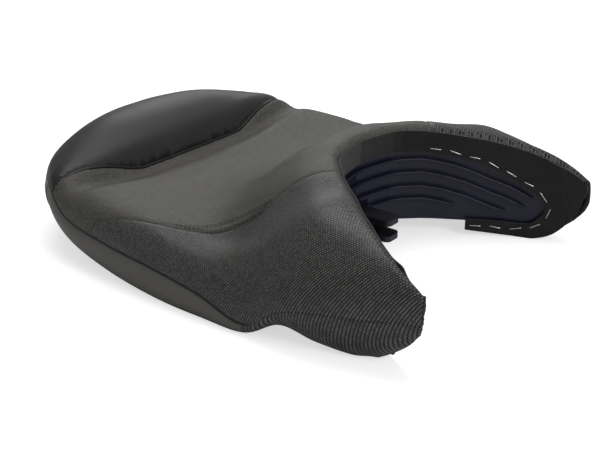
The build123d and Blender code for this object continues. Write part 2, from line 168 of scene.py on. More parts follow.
# Floor of the pan, place against height, with its skin, the wall inside the skirt, bosses and ribs.
PAN_HEIGHT = np.array([
    (-270, 70), (-224, 62), (-189, 52), (-154, 42), (-104, 32), (-44, 30), (-4, 36), (31, 60), (66, 86),
    (300, 96),
], float)
PAN_ROWS, PAN_COLUMNS, PAN_EDGE_ROWS = 161, 60, 10
PAN_REACH, PAN_SKIN, FOAM_LEAST = (0.03, 0.965), 2.4, 7
PAN_HEM_CLEARANCE, PAN_HEM_POWER = 3, 8
PAN_FOOT, PAN_FOOT_LIFT = np.array([0.955, 0.955, 1]), np.array([0, 0, 2.5])
BOSS_RADII = (8.4, 9.0, 9.4, 11.0)
BOSS_CHAMFER, BOSS_FLARE, BOSS_GAP = 0.8, 3, 0.1
RIB_SIDES, RIB_SPAN, RIB_POINTS, RIB_DEPTH = (-48.0, 48.0), (-210, 20), 60, 12
RIB_ROOT, RIB_TIP = 1.2, 1.0
ROOF_OVERLAP = 1
PLATE_MARGIN, PLATE_PAD, CLAW_MARGIN = 3, 14, 4
PAD_DRAFT, PAD_FRONT_DRAFT = 1, 0.5
BUFFERS = ("front_right", "front_left", "rear_right", "rear_left")

# Tape tab: its stations, its share of the skirt's height, and how far it stands off the skirt.
TAB_STATIONS, TAB_DROP, TAB_GRID = (2.72, 2.98), (0.06, 0.98), (12, 20)
TAB_OUT, TAB_BULGE, TAB_BACK = 1.2, 0.5, 0.6

# Lamps: name, place, size in metres, power in watts and target.
LAMPS = (
    ("top", (-0.2, 0.25, 1.5), (1.2, 0.8), 11, (0.0, 0.0, 0.0)),
    ("front_right", (1.5, -0.2, 0.9), (0.7, 0.5), 7, (0.1, 0.0, 0.05)),
    ("rear_left", (-1.1, 1.2, 0.9), (1.0, 0.5), 5, (0.0, 0.0, 0.05)),
)
CAMERA_PLACE = np.array([0.6141, -0.7734, 0.4524])
CAMERA_AZIMUTH, CAMERA_ELEVATION, CAMERA_LENS, CAMERA_SENSOR = 38.105, 24.228, 60, 36
FLOOR_HALF, FLOOR_GREY, FLOOR_GLOW = 6, 0.78, 0.62
SKY_ON_SEAT, SKY_SEEN = 0.30, 1.0


def length_setting(name, description, default):
    """Length setting in metres."""
    return bpy.props.FloatProperty(name=name, description=description, default=default, unit="LENGTH")


def colour_setting(name, description, default):
    """Colour setting in linear red, green and blue."""
    return bpy.props.FloatVectorProperty(
        name=name, description=description, default=default, size=3, subtype="COLOR",
    )


class SeatSizes(bpy.types.PropertyGroup):
    """Sizes that a user would change."""

    piping: length_setting("Piping", "Radius of the welt cord", 0.0019)
    stitch: length_setting("Stitch", "Length of one stitch", 0.0032)
    roll: length_setting("Rim roll", "Radius at the rim of the notch", RIM_ROLL * MM)
    tuck: length_setting("Seam tuck", "Depth the cover dips at a seam", 0.0013)


class SeatColours(bpy.types.PropertyGroup):
    """Colours of the finishes."""

    rear: colour_setting("Rear vinyl", "Smooth vinyl behind the rider", (0.022, 0.022, 0.021))
    centre: colour_setting("Centre vinyl", "Fine woven vinyl", (0.155, 0.150, 0.136))
    front: colour_setting("Front vinyl", "Carbon-look vinyl", (0.160, 0.157, 0.150))
    side: colour_setting("Side vinyl", "Smooth vinyl of the skirt", (0.120, 0.116, 0.107))
    pan: colour_setting("Pan", "Moulded plastic", (0.012, 0.013, 0.034))


# ---------------------------------------------------------------- curves and surfaces


def blend_curve(knots, values, at):
    """Piecewise cubic through values at knots: Hermite spans with slopes from the points either side."""
    knots = np.asarray(knots, float)
    values = np.asarray(values, float)
    slopes = np.gradient(values, knots, axis=0)
    at = np.clip(at, knots[0], knots[-1])
    i = np.clip(np.searchsorted(knots, at, side="right") - 1, 0, len(knots) - 2)
    h = knots[i + 1] - knots[i]
    t = (at - knots[i]) / h
    shape = t.shape + (1,) * (values.ndim - 1)
    t, h = t.reshape(shape), h.reshape(shape)
    a, b = 2 * t**3 - 3 * t**2 + 1, -2 * t**3 + 3 * t**2
    c, d = t**3 - 2 * t**2 + t, t**3 - t**2
    return a * values[i] + b * values[i + 1] + (c * slopes[i] + d * slopes[i + 1]) * h


def read(table, at):
    """Second column of a table at a value of its first, along straight lines between its rows."""
    return np.interp(at, table[:, 0], table[:, 1])


def both_sides(half):
    """Stations of one half preceded by their mirror images, so that the middle is smooth."""
    mirrored = half[1:][::-1] * np.array([1, -1, 1])
    return np.concatenate([mirrored, half])


def station_curve(table, s):
    """Point of a table of stations at the station number s, negative on the rider's right."""
    return blend_curve(STATIONS, both_sides(table), s)


def picked(rows, index):
    """Value of each row at its index."""
    return np.take_along_axis(rows, index[..., None], -1)[..., 0]


def crown_height(x, y):
    """Height of the crown at a place: the table read along the seat, then across its half width, both
    by the cubic of blend_curve. The slope across is nought on the centre line."""
    share = np.clip(np.abs(y) / np.maximum(read(WIDEST, x), 1.0), 0, 1)
    rows = blend_curve(CROWN_X, CROWN_Z, x)
    position = share * (len(CROWN_SHARE) - 1)
    i = np.clip(position.astype(int), 0, len(CROWN_SHARE) - 2)
    slopes = np.gradient(rows, axis=-1)
    slopes[..., 0] = 0
    t = position - i
    a, b = 2 * t**3 - 3 * t**2 + 1, -2 * t**3 + 3 * t**2
    c, d = t**3 - 2 * t**2 + t, t**3 - t**2
    return a * picked(rows, i) + b * picked(rows, i + 1) + c * picked(slopes, i) + d * picked(slopes, i + 1)


def rear_distance(x, y):
    """Signed millimetres in front of the rear seam."""
    return x - read(REAR_SEAM, np.abs(y))


def front_distance(x, y):
    """Signed millimetres outside the front seam, measured across the seat."""
    return np.abs(y) - read(FRONT_SEAM, x)


def cover_points(s, rho, roll, tuck):
    """Top of the cover. Straight lines in plan run from the rim (rho 0) to the widest line (rho 1); the
    height is the crown, rolled down in a quarter circle at the rim and in a superellipse at the flank.
    Bell curves of the distance to a seam dip it at the seams and swell it behind the rear one."""
    rim, wide = station_curve(RIM, s), station_curve(WIDEST, s)
    across = (wide - rim)[..., :2]
    plan = rim[..., :2] + across * rho[..., None]
    x, y = plan[..., 0], plan[..., 1]
    span = np.linalg.norm(across, axis=-1)
    reach = rho * span
    crown = crown_height(x, y)
    crown += (rim[..., 2] - crown_height(rim[..., 0], rim[..., 1])) * np.exp(-reach / RIM_FADE)
    power = np.maximum(FLANK_POWER, FLANK_POWER_PER_MM * span)
    height = wide[..., 2] + (crown - wide[..., 2]) * np.sqrt(np.clip(1 - rho**power, 0, 1))
    radius = np.minimum(roll, RIM_ROLL_SHARE * span)
    lean = np.clip(1 - reach / radius, 0, 1)
    height -= radius * (1 - np.sqrt(1 - lean**2))
    behind = rear_distance(x, y)
    seam = np.exp(-((behind / REAR_TUCK_WIDTH) ** 2)) * (wide[..., 0] < 0)
    seam = seam + np.exp(-((front_distance(x, y) / FRONT_TUCK_WIDTH) ** 2))
    swell = np.exp(-((behind + SWELL_BACK) / SWELL_WIDTH) ** 2) * SWELL
    wave = np.sin(y * PUCKER_WAVE + 2 * np.sin(y * PUCKER_DRIFT))
    pucker = PUCKER * wave * np.exp(-np.abs(behind) / PUCKER_FADE)
    height += swell + pucker - tuck * np.clip(seam, 0, TUCK_LIMIT)
    return np.stack([x, y, height], -1)


def skirt_points(s, v):
    """Skirt below the widest line: the parabola from the widest point (v 0) through the middle to the
    hem (v 1), then a turn inwards under the pan for v over 1. Nothing goes below the floor."""
    wide, middle, hem = (station_curve(table, s) for table in (WIDEST, MIDDLE, HEM))
    v = v[..., None]
    t = np.clip(v, 0, 1)
    point = wide * (1 - t) * (1 - 2 * t) + middle * 4 * t * (1 - t) + hem * t * (2 * t - 1)
    turn = np.clip(v - 1, 0, 1)
    point = point + (hem * FOOT_TURN - hem) * turn
    point[..., 2] = np.maximum(point[..., 2], LEAST_HEIGHT)
    return point


def skirt_grid(first, last, rows, sign):
    """Points and quads of the skirt of one side between two stations, its foot turned in."""
    s = np.linspace(first, last, rows) * sign
    v = np.linspace(0, SKIRT_TURN, SKIRT_COLUMNS)
    points = skirt_points(np.repeat(s[:, None], SKIRT_COLUMNS, 1), np.tile(v, (rows, 1)))
    return points.reshape(-1, 3), grid_faces(rows, SKIRT_COLUMNS, sign < 0)


def wall_points(x, z, side, out=0.0):
    """Point on the wall of the notch: place along the seat and height, moved outwards by out and by a
    lean that grows towards the floor."""
    line = RIM[:, :2]
    slope = np.gradient(line, axis=0)
    slope[0] = (0, 1)
    normal = np.stack([-slope[:, 1], slope[:, 0]], 1)
    normal /= np.linalg.norm(normal, axis=1)[:, None]
    y = np.interp(x, line[:, 0], line[:, 1])
    nx, ny = np.interp(x, line[:, 0], normal[:, 0]), np.interp(x, line[:, 0], normal[:, 1])
    lean = (1 - np.clip(z / WALL_LEAN_HEIGHT, 0, 1)) * read(WALL_LEAN, x)
    return np.stack([x + nx * (out + lean), side * (y + ny * (out + lean)), z], -1)


def grid_faces(rows, columns, flip=False):
    """Quads of a grid of points numbered row by row."""
    i, j = np.meshgrid(np.arange(rows - 1), np.arange(columns - 1), indexing="ij")
    a = (i * columns + j).ravel()
    quads = np.stack([a, a + 1, a + columns + 1, a + columns], 1)
    return quads[:, ::-1] if flip else quads


def ring_quads(rings, sides):
    """Quads between rings of points numbered ring by ring, closed round each ring."""
    i, j = np.meshgrid(np.arange(rings - 1), np.arange(sides), indexing="ij")
    a, b = (i * sides + j).ravel(), (i * sides + (j + 1) % sides).ravel()
    return np.stack([a, b, b + sides, a + sides], 1)


def tube(path, radius, sides=10, gather=0.0):
    """Tube of a radius along a path: a circle carried in the frame of the tangent and the upright, its
    radius swelling and shrinking in two sine waves by the share given as gather."""
    path = np.asarray(path, float)
    tangent = np.gradient(path, axis=0)
    tangent /= np.linalg.norm(tangent, axis=1)[:, None]
    across = np.cross(tangent, UPRIGHT)
    across /= np.maximum(np.linalg.norm(across, axis=1), 1e-6)[:, None]
    up = np.cross(across, tangent)
    angle = np.linspace(0, 2 * np.pi, sides, endpoint=False)
    along = np.arange(len(path))[:, None]
    wave = np.sin(along * 1.7 + 3 * np.sin(angle + along * 0.6))
    size = radius * (1 + gather * wave + gather * 0.6 * np.sin(along * 0.53))
    ring = across[:, None] * np.cos(angle)[None, :, None] + up[:, None] * np.sin(angle)[None, :, None]
    points = (path[:, None] + ring * size[..., None]).reshape(-1, 3)
    faces = [tuple(face) for face in ring_quads(len(path), sides)[:, ::-1]]
    faces += [tuple(range(sides)), tuple(range(len(points) - sides, len(points)))[::-1]]
    return points, faces


def lathe(base, radii, heights, sides=32):
    """Round boss: radii carried round the upright at their heights above the base, closed at both ends."""
    angle = np.linspace(0, 2 * np.pi, sides, endpoint=False)
    circle = np.stack([np.cos(angle), np.sin(angle)], 1)
    rings = [np.column_stack([circle * r, np.full(sides, h)]) + base for r, h in zip(radii, heights)]
    faces = [tuple(face) for face in ring_quads(len(radii), sides)]
    last = sides * (len(radii) - 1)
    faces += [tuple(range(sides))[::-1], tuple(range(last, last + sides))]
    return np.concatenate(rings), faces


def slab(low, high):
    """Pad with slanted sides between two corners, wider at its upper face by the draft."""
    (x0, y0, z0), (x1, y1, z1) = low, high
    wide_x0, wide_x1 = x0 - PAD_DRAFT, x1 + PAD_FRONT_DRAFT
    wide_y0, wide_y1 = y0 - PAD_DRAFT, y1 + PAD_DRAFT
    points = np.array([
        (x0, y0, z0), (x1, y0, z0), (x1, y1, z0), (x0, y1, z0),
        (wide_x0, wide_y0, z1), (wide_x1, wide_y0, z1), (wide_x1, wide_y1, z1), (wide_x0, wide_y1, z1),
    ], float)
    return points, [(3, 2, 1, 0), (4, 5, 6, 7), (0, 1, 5, 4), (1, 2, 6, 5), (2, 3, 7, 6), (3, 0, 4, 7)]


def joined(pieces):
    """Several point sets with their faces as one."""
    points, faces, start = [], [], 0
    for these, theirs in pieces:
        points.append(these)
        faces += [tuple(int(k) + start for k in face) for face in theirs]
        start += len(these)
    return np.concatenate(points), faces


def path_lengths(path):
    """Length from the start of a path to each of its points."""
    return np.concatenate([[0], np.cumsum(np.linalg.norm(np.diff(path, axis=0), axis=1))])


def points_along(rows, lengths, at):
    """Rows that belong to the points of a path, read at lengths along it."""
    return np.stack([np.interp(at, lengths, rows[:, k]) for k in range(3)], 1)


def resample(path, step, start=0.0):
    """Points at equal steps of length along a path."""
    lengths = path_lengths(path)
    return points_along(path, lengths, np.arange(start, lengths[-1], step))


def make_piece(name, points, faces, material, replaces=(), uv=None, thickness=0.0):
    """Mesh object from points in millimetres, riding on the one body, with its finish."""
    mesh = bpy.data.meshes.new(name)
    mesh.from_pydata((np.asarray(points) * MM).tolist(), [], [tuple(int(k) for k in f) for f in faces])
    mesh.validate()
    mesh.shade_smooth()
    piece = bpy.data.objects.new(name, mesh)
    bpy.context.scene.collection.objects.link(piece)
    if uv is not None:
        layer = mesh.uv_layers.new(name="UVMap")
        loops = np.zeros(len(mesh.loops), int)
        mesh.loops.foreach_get("vertex_index", loops)
        layer.data.foreach_set("uv", np.asarray(uv, float)[loops].ravel())
    mesh.materials.append(material)
    if thickness:
        wall = piece.modifiers.new("Wall", "SOLIDIFY")
        wall.thickness = thickness * MM
        wall.offset = -1
    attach(piece, "root")
    if replaces:
        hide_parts(*replaces)
    return piece


# ---------------------------------------------------------------- finishes


DEEP_SHARE = 0.72  # darker tone of a finish that gives none, as a share of its colour
LEAST_ROUGH, ROUGH_SPREAD = 0.05, 0.07
RELIEF_DEPTH = 0.0004
METAL_SPECULAR, SOFT_SPECULAR = 0.5, 0.36


def group_of(name, build, inputs, outputs):
    """Shader node group with named inputs and outputs, built once."""
    group = bpy.data.node_groups.get(name)
    if group:
        return group
    group = bpy.data.node_groups.new(name, "ShaderNodeTree")
    for label, kind, value in inputs:
        socket = group.interface.new_socket(label, in_out="INPUT", socket_type=kind)
        if value is not None:
            socket.default_value = value
    for label, kind in outputs:
        group.interface.new_socket(label, in_out="OUTPUT", socket_type=kind)
    build(group, group.nodes.new("NodeGroupInput"), group.nodes.new("NodeGroupOutput"))
    return group


def scalar(label, value):
    """Row for a number socket of a node group."""
    return label, "NodeSocketFloat", value


VECTOR = ("Vector", "NodeSocketVector", None)
GRAIN_INPUTS = (VECTOR, scalar("Scale", 900.0))
GRAIN_OUTPUTS = (("Height", "NodeSocketFloat"), ("Mottle", "NodeSocketFloat"))
WEAVE_SIZES = ("Brick Width", "Row Height", "Mortar Size")
WEAVE_INPUTS = (VECTOR, *(scalar(label, value) for label, value in zip(WEAVE_SIZES, (3.0, 2.0, 0.4))))
WEAVE_OUTPUTS = (("Mask", "NodeSocketFloat"), ("Mottle", "NodeSocketFloat"))


def build_grain(group, given, out):
    """Leather grain: distance to the nearest cell plus noise as a height, and a slow noise as a mottle."""
    link = group.links.new
    cells, total = group.nodes.new("ShaderNodeTexVoronoi"), group.nodes.new("ShaderNodeMath")
    noise, slow = group.nodes.new("ShaderNodeTexNoise"), group.nodes.new("ShaderNodeTexNoise")
    total.operation = "ADD"
    for node in (cells, noise):
        link(given.outputs["Vector"], node.inputs["Vector"])
        link(given.outputs["Scale"], node.inputs["Scale"])
    link(given.outputs["Vector"], slow.inputs["Vector"])
    slow.inputs["Scale"].default_value = 22
    link(cells.outputs["Distance"], total.inputs[0])
    link(noise.outputs["Fac"], total.inputs[1])
    link(total.outputs[0], out.inputs["Height"])
    link(slow.outputs["Fac"], out.inputs["Mottle"])


def build_weave(group, given, out):
    """Woven look: offset rows of short raised dashes as a mask, sizes in millimetres, and a noise."""
    link = group.links.new
    dashes, noise = group.nodes.new("ShaderNodeTexBrick"), group.nodes.new("ShaderNodeTexNoise")
    mask = group.nodes.new("ShaderNodeRGBToBW")
    dashes.offset = 0.5
    dashes.inputs["Color1"].default_value = (1, 1, 1, 1)
    dashes.inputs["Color2"].default_value = (0.45, 0.45, 0.45, 1)
    dashes.inputs["Mortar"].default_value = (0, 0, 0, 1)
    dashes.inputs["Mortar Smooth"].default_value = 0.6
    dashes.inputs["Scale"].default_value = 1000
    for label in WEAVE_SIZES:
        link(given.outputs[label], dashes.inputs[label])
    link(given.outputs["Vector"], dashes.inputs["Vector"])
    link(given.outputs["Vector"], noise.inputs["Vector"])
    noise.inputs["Scale"].default_value = 60
    link(dashes.outputs["Color"], mask.inputs["Color"])
    link(mask.outputs["Val"], out.inputs["Mask"])
    link(noise.outputs["Fac"], out.inputs["Mottle"])


def finish(name, colour, rough, bump=0.2, scale=900, weave=None, deep=None, sheen=0.0, metal=0.0, turn=0.0):
    """Principled finish: grain, or a weave when its brick width, row height and mortar are given."""
    material = bpy.data.materials.new(name)
    material.use_nodes = True
    nodes, link = material.node_tree.nodes, material.node_tree.links.new
    shader = nodes["Principled BSDF"]
    coords, mapping = nodes.new("ShaderNodeTexCoord"), nodes.new("ShaderNodeMapping")
    mapping.inputs["Rotation"].default_value = (0, 0, turn)
    link(coords.outputs["UV" if weave else "Object"], mapping.inputs["Vector"])
    texture, blend = nodes.new("ShaderNodeGroup"), nodes.new("ShaderNodeMix")
    relief, mottle = nodes.new("ShaderNodeBump"), nodes.new("ShaderNodeMapRange")
    blend.data_type = "RGBA"
    if weave:
        texture.node_tree = group_of("Weave", build_weave, WEAVE_INPUTS, WEAVE_OUTPUTS)
        for label, value in zip(WEAVE_SIZES, weave):
            texture.inputs[label].default_value = value
        mask, lift = texture.outputs["Mask"], texture.outputs["Mask"]
    else:
        texture.node_tree = group_of("Grain", build_grain, GRAIN_INPUTS, GRAIN_OUTPUTS)
        texture.inputs["Scale"].default_value = scale
        mask, lift = texture.outputs["Mottle"], texture.outputs["Height"]
    link(mapping.outputs["Vector"], texture.inputs["Vector"])
    deep = deep or tuple(DEEP_SHARE * channel for channel in colour)
    blend.inputs["A"].default_value = (*deep, 1)
    blend.inputs["B"].default_value = (*colour, 1)
    link(mask, blend.inputs["Factor"])
    link(blend.outputs["Result"], shader.inputs["Base Color"])
    mottle.inputs["To Min"].default_value = max(LEAST_ROUGH, rough - ROUGH_SPREAD)
    mottle.inputs["To Max"].default_value = rough + ROUGH_SPREAD
    link(texture.outputs["Mottle"], mottle.inputs["Value"])
    link(mottle.outputs["Result"], shader.inputs["Roughness"])
    relief.inputs["Strength"].default_value = bump
    relief.inputs["Distance"].default_value = RELIEF_DEPTH
    link(lift, relief.inputs["Height"])
    link(relief.outputs["Normal"], shader.inputs["Normal"])
    shader.inputs["Metallic"].default_value = metal
    shader.inputs["Specular IOR Level"].default_value = METAL_SPECULAR if metal else SOFT_SPECULAR
    shader.inputs["Sheen Weight"].default_value = sheen
    return material


# ---------------------------------------------------------------- grid shared by cover, piping and stitches


def seam_rows(s, rho, distance, roll, tuck):
    """Moves the grid line nearest to a seam onto it on every row that the seam crosses."""
    points = cover_points(s, rho, roll, tuck)
    d = distance(points[..., 0], points[..., 1])
    rows, columns = np.nonzero(np.sign(d[:, :-1]) != np.sign(d[:, 1:]))
    keep = np.concatenate([[True], np.diff(rows) > 0])
    rows, columns = rows[keep], columns[keep]
    share = d[rows, columns] / (d[rows, columns] - d[rows, columns + 1])
    place = rho[rows, columns] + share * (rho[rows, columns + 1] - rho[rows, columns])
    near = columns + (share >= 0.5)
    inner = (near > 0) & (near < rho.shape[1] - 1)
    rows, near, place = rows[inner], near[inner], place[inner]
    rho[rows, near] = place
    return rows, near


def cover_grid():
    """Grid of the whole top cover with both seams on grid lines, its triangles and their panels."""
    sizes = bpy.context.scene.seat_sizes
    roll, tuck = sizes.roll / MM, sizes.tuck / MM
    s_line = np.linspace(-LAST, LAST, COVER_ROWS)
    t = np.linspace(0, 1, COVER_COLUMNS)
    rho = np.tile((1 - np.cos(np.pi * t)) / 2, (len(s_line), 1))
    s = np.repeat(s_line[:, None], len(t), 1)
    rear_rows, rear_columns = seam_rows(s, rho, rear_distance, roll, tuck)
    front_rows, front_columns = seam_rows(s, rho, front_distance, roll, tuck)
    points = cover_points(s, rho, roll, tuck)
    on_seam = np.zeros(s.shape, bool)
    on_seam[rear_rows, rear_columns] = True
    on_seam[front_rows, front_columns] = True
    quads = grid_faces(*s.shape)
    flat = on_seam.ravel()
    other = (flat[quads[:, 1]] & flat[quads[:, 3]])[:, None]
    first = np.where(other, quads[:, [0, 1, 3]], quads[:, [0, 1, 2]])
    second = np.where(other, quads[:, [1, 2, 3]], quads[:, [0, 2, 3]])
    triangles = np.concatenate([first, second])
    p = points.reshape(-1, 3)
    middle = p[triangles].mean(1)
    rear = rear_distance(middle[:, 0], middle[:, 1])
    front = front_distance(middle[:, 0], middle[:, 1])
    return {
        "points": points, "triangles": triangles, "side": middle[:, 1], "rear": rear, "front": front,
        "rear_seam": points[rear_rows, rear_columns], "front_seam": points[front_rows, front_columns],
    }


def panel(grid, chosen):
    """Points and triangles of the chosen part of the cover, with unused points dropped."""
    used, index = np.unique(grid["triangles"][chosen], return_inverse=True)
    return grid["points"].reshape(-1, 3)[used], index.reshape(-1, 3)


def cloth_uv(points, slant):
    """Flat lay of a panel: place along the seat, and height added to the way across it."""
    return np.stack([points[:, 0] + slant * points[:, 2], np.abs(points[:, 1]) - 0.9 * points[:, 2]], 1) * MM


def stitch_line(path, normals, pitch, stitch, offset):
    """Short sunken stitches along a path, moved sideways by offset: each an arch from a point in the
    cover over it and back in."""
    lengths = path_lengths(path)
    at = np.arange(pitch, lengths[-1] - pitch, pitch)
    begin, end = (points_along(path, lengths, at + shift) for shift in (-stitch / 2, stitch / 2))
    up = points_along(normals, lengths, at)
    side = np.cross(end - begin, up)
    side /= np.linalg.norm(side, axis=1)[:, None]
    up /= np.linalg.norm(up, axis=1)[:, None]
    begin, end = begin + side * offset, end + side * offset
    sunk, raised = -0.25 * up, 0.35 * up
    arches = np.stack([
        begin + sunk, begin * 0.75 + end * 0.25 + raised, begin * 0.25 + end * 0.75 + raised, end + sunk,
    ], 1)
    return [tube(arch, THREAD, sides=6) for arch in arches]


def smooth_path(path, passes=3):
    """Path with its small steps averaged out."""
    for _ in range(passes):
        path = np.concatenate([path[:1], (path[:-2] + 2 * path[1:-1] + path[2:]) / 4, path[-1:]])
    return path


def surface_normals(path, across):
    """Outward directions along a path from its tangent and a direction across it."""
    normal = np.cross(np.gradient(path, axis=0), across)
    normal *= np.sign(normal @ UPRIGHT + 1e-9)[:, None]
    return normal / np.linalg.norm(normal, axis=1)[:, None]


# ---------------------------------------------------------------- parts of the pan and the lining


def box_mm(node):
    """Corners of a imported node's box in millimetres."""
    return (np.array(corner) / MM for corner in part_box(node))


def pan_wall(x, sign):
    """Wall of the notch behind the fins: a front and a back sheet, and the edge between their feet."""
    low, high = read(WALL_LOW, x), read(WALL_HIGH, x)
    z = low[:, None] + (high - low)[:, None] * np.linspace(0, 1, WALL_COLUMNS)[None]
    places = np.repeat(x[:, None], WALL_COLUMNS, 1)
    front, back = (wall_points(places, z, sign, out) for out in (WALL_FRONT, WALL_BACK))
    edge = np.stack([front[:, 0], back[:, 0]], 1)
    return [
        (front.reshape(-1, 3), grid_faces(len(x), WALL_COLUMNS, sign > 0)),
        (back.reshape(-1, 3), grid_faces(len(x), WALL_COLUMNS, sign < 0)),
        (edge.reshape(-1, 3), grid_faces(len(x), 2, sign < 0)),
    ]


def pan_fins(x, sign):
    """Fins on the wall of the notch: one rounded section carried along it, falling towards the tip of
    the horn and tapering into the wall at its end by the square root of the distance left."""
    parts, (root, count) = [], (FIN_SECTION[0, 0], len(FIN_SECTION))
    for height, end in zip(FIN_HEIGHTS, FIN_ENDS):
        reach = x[x < end]
        taper = np.clip((end - reach) / FIN_TAPER, FIN_LEAST, 1) ** 0.5
        z = (height + read(FIN_DROP, reach))[:, None] + FIN_SECTION[None, :, 1]
        out = root + (FIN_SECTION[None, :, 0] - root) * taper[:, None]
        rows = wall_points(np.repeat(reach[:, None], count, 1), z, sign, out)
        parts.append((rows.reshape(-1, 3), grid_faces(len(reach), count, sign < 0)))
    return parts


def pan_floor():
    """Floor of the shell, from the wall of the notch out to the skirt and straight down inside it, and
    the same sheet lower by the skin as its underside."""
    s_line = np.linspace(-LAST, LAST, PAN_ROWS)
    s, share = np.meshgrid(s_line, np.linspace(*PAN_REACH, PAN_COLUMNS), indexing="ij")
    rim, wide, hem = (station_curve(table, s) for table in (RIM, WIDEST, HEM))
    plan = rim[..., :2] + (wide - rim)[..., :2] * share[..., None]
    cover = cover_points(s, share, RIM_ROLL, 0.0)[..., 2]
    height = read(PAN_HEIGHT, plan[..., 0])
    height = np.maximum(height, (hem[..., 2] + PAN_HEM_CLEARANCE) * share**PAN_HEM_POWER)
    height = np.minimum(height, cover - FOAM_LEAST)
    top = np.concatenate([plan, height[..., None]], -1)
    down = np.linspace(0, 1, PAN_EDGE_ROWS)[None, :, None]
    foot = station_curve(HEM, s_line)[:, None, :] * PAN_FOOT + PAN_FOOT_LIFT
    wall = top[:, -1:, :] * (1 - down) + foot * down
    sheet = np.concatenate([top, wall[:, 1:]], 1)
    underside = sheet - np.array([0, 0, PAN_SKIN])
    return [
        (sheet.reshape(-1, 3), grid_faces(*sheet.shape[:2], True)),
        (underside.reshape(-1, 3), grid_faces(*sheet.shape[:2])),
    ]


def pan_bosses():
    """Round boss from each buffer up to the floor of the pan, flared at its root."""
    parts = []
    for word in BUFFERS:
        low, high = box_mm(f"{word}_buffer")
        middle = (low + high) / 2
        rise = float(read(PAN_HEIGHT, middle[0])) - ROOF_OVERLAP - high[2]
        base = np.array([middle[0], middle[1], high[2] + BOSS_GAP])
        parts.append(lathe(base, BOSS_RADII, (0.0, BOSS_CHAMFER, rise - BOSS_FLARE, rise)))
    return parts


def pan_ribs():
    """Two long ribs under the floor of the pan, a little thinner at the tip than at the root."""
    parts, x = [], np.linspace(*RIB_SPAN, RIB_POINTS)
    roof = read(PAN_HEIGHT, x) - ROOF_OVERLAP
    section = ((-RIB_ROOT, 0), (-RIB_TIP, RIB_DEPTH), (RIB_TIP, RIB_DEPTH), (RIB_ROOT, 0))
    for y in RIB_SIDES:
        rows = np.stack([
            np.stack([x, np.full(RIB_POINTS, y + out), roof - depth], 1) for out, depth in section
        ], 1)
        parts.append((rows.reshape(-1, 3), grid_faces(RIB_POINTS, len(section))))
    return parts


def pan_pads():
    """Pad above the striker plate and pad behind the claw, with drafted sides."""
    low, high = box_mm("striker_plate")
    plate = slab(
        (low[0] - PLATE_MARGIN, low[1] - PLATE_MARGIN, high[2]),
        (high[0] + PLATE_MARGIN, high[1] + PLATE_MARGIN, high[2] + PLATE_PAD),
    )
    low, high = box_mm("front_claw")
    claw = slab(tuple(low - CLAW_MARGIN), (low[0], high[1] + CLAW_MARGIN, high[2] + CLAW_MARGIN))
    return [plate, claw]


def lining_points():
    """Felt on the wall of the notch, right side then left as one sheet: straight lines from the bare
    edge to the outer edge, lifted off the wall by slow ripples and one fold towards the horn's tip."""
    steps, fine = np.linspace(0, 1, len(BARE_EDGE)), np.linspace(0, 1, LINING_ROWS)
    bare, rim = blend_curve(steps, BARE_EDGE, fine), blend_curve(steps, LINING_EDGE, fine)
    share = np.linspace(0, 1, LINING_COLUMNS)[None, :, None]
    flat = bare[:, None] * (1 - share) + rim[:, None] * share
    x, z = flat[..., 0], flat[..., 1]
    ripple = 0.5 * np.sin(x * 0.21 + z * 0.13) + 0.35 * np.sin(x * 0.07 - z * 0.31)
    fold = FOLD * np.exp(-((x + 0.4 * z - FOLD_PLACE) / FOLD_WIDTH) ** 2)
    lift = -0.6 - 0.5 * ripple - fold
    right, left = wall_points(x, z, -1, lift), wall_points(x, z, 1, lift)[::-1]
    return np.concatenate([right, left[1:]])


def hem_path(sign):
    """Path of the gathered hem round the tip of a horn: over the top from the rim, then down the skirt."""
    tip = float(LAST * sign)
    top = cover_points(np.full(HEM_OVER, tip), np.linspace(0, 1, HEM_OVER), HEM_ROLL, 0.0)
    down = skirt_points(np.full(HEM_DOWN, tip), np.linspace(0.05, 1, HEM_DOWN))
    path = resample(smooth_path(np.concatenate([top, down]), 2), HEM_STEP)
    return path + HEM_SHIFT * np.array([1, sign, 1])


def staple_wires():
    """Staples along their line on both sides, each a wire out of the felt, along its crown and back in.
    Every crown is tilted by its own small angle."""
    path = np.stack([STAPLE_LINE[:, 0], read(RIM, STAPLE_LINE[:, 0]), STAPLE_LINE[:, 1]], 1)
    begins, ends = (resample(path, STAPLE_PITCH, start) for start in (STAPLE_BEGIN, STAPLE_END))
    bends, wires = STAPLE_BENDS[:, None], []
    for number, (begin, end) in enumerate(zip(begins, ends)):
        tilt = STAPLE_TILT * np.sin(number * 2.3)
        x, z = np.array([begin[0], end[0]]), np.array([begin[2] + tilt, end[2] - tilt])
        for sign in (-1, 1):
            crown, legs = (wall_points(x, z, sign, out) for out in (STAPLE_OUT, STAPLE_IN))
            route = np.concatenate([legs[:1], crown[:1] * (1 - bends) + crown[1:] * bends, legs[1:]])
            wires.append(tube(route, STAPLE_WIRE, sides=6))
    return wires


def aim(holder, place, target):
    """Puts a lamp or camera at a place, looking at a target."""
    holder.location = Vector(place)
    holder.rotation_euler = (Vector(target) - Vector(place)).to_track_quat("-Z", "Y").to_euler()


# ---------------------------------------------------------------- operators, one for each group of pieces


